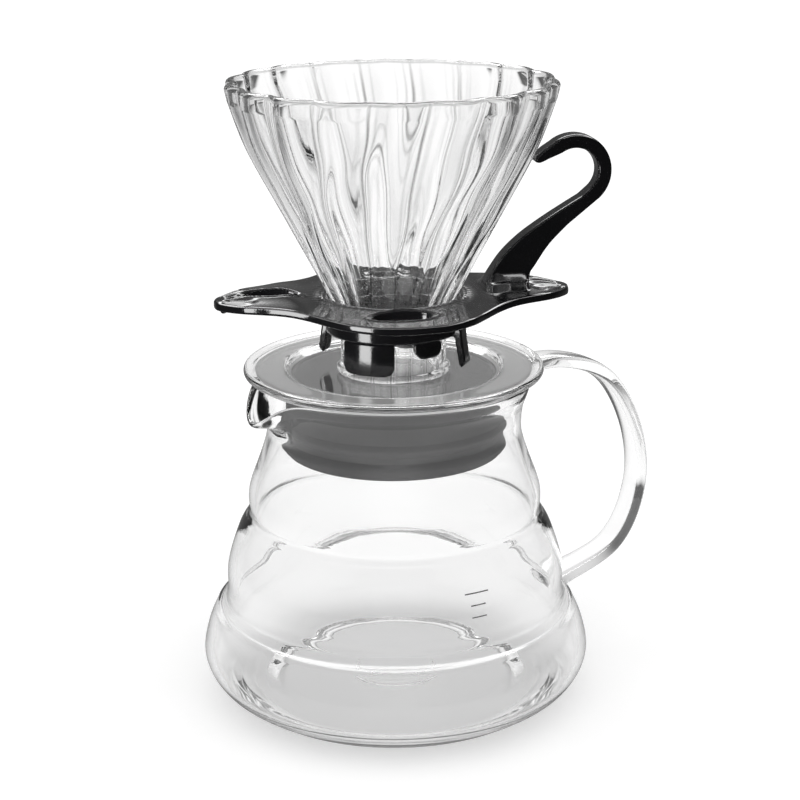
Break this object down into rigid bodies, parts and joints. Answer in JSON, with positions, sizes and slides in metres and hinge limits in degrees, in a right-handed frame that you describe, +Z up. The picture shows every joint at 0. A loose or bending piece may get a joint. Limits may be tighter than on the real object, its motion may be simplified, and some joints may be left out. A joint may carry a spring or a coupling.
{
  "type": "pour over coffee dripper with server",
  "caption": "Fluted glass cone dripper in a black winged holder with a hook handle, standing on a lidded, tiered glass server.",
  "frame": {"origin": "middle of the set's footprint, on the table it stands on; the common axis of server, lid and cone stands 16.8 mm from it towards -X, because the server's handle widens the footprint on +X", "axes": "+Z up, along the common axis of server, lid and cone; +X along the server's handle, with the pouring lip on -X"},
  "size_m": [0.157, 0.1234, 0.1966],
  "materials": {
    "server_glass": "clear blown borosilicate glass",
    "lid_glass": "clear pressed glass",
    "silicone": "soft grey silicone",
    "black_plastic": "black moulded plastic, satin to gloss",
    "cone_glass": "clear fluted glass"
  },
  "bodies": {
    "server": {"server_body": "server_glass", "server_handle": "server_glass"},
    "lid": {"lid_glass": "lid_glass", "lid_gasket": "silicone"},
    "dripper": {"holder": "black_plastic"},
    "ring": {"lock_ring": "black_plastic"},
    "cone": {"glass_cone": "cone_glass"}
  },
  "joints": [
    {"name": "lid_lift", "type": "slide", "parent": "server", "child": "lid", "axis": [0, 0, 1], "range_m": [0, 0.045]},
    {"name": "dripper_lift", "type": "slide", "parent": "lid", "child": "dripper", "axis": [0, 0, 1], "range_m": [0, 0.04]},
    {"name": "ring_twist", "type": "hinge", "parent": "dripper", "child": "ring", "pos_m": [-0.0168, 0, 0.122], "axis": [0, 0, 1], "range_deg": [-20, 0]},
    {"name": "cone_lift", "type": "slide", "parent": "dripper", "child": "cone", "axis": [0, 0, 1], "range_m": [0, 0.045]}
  ]
}
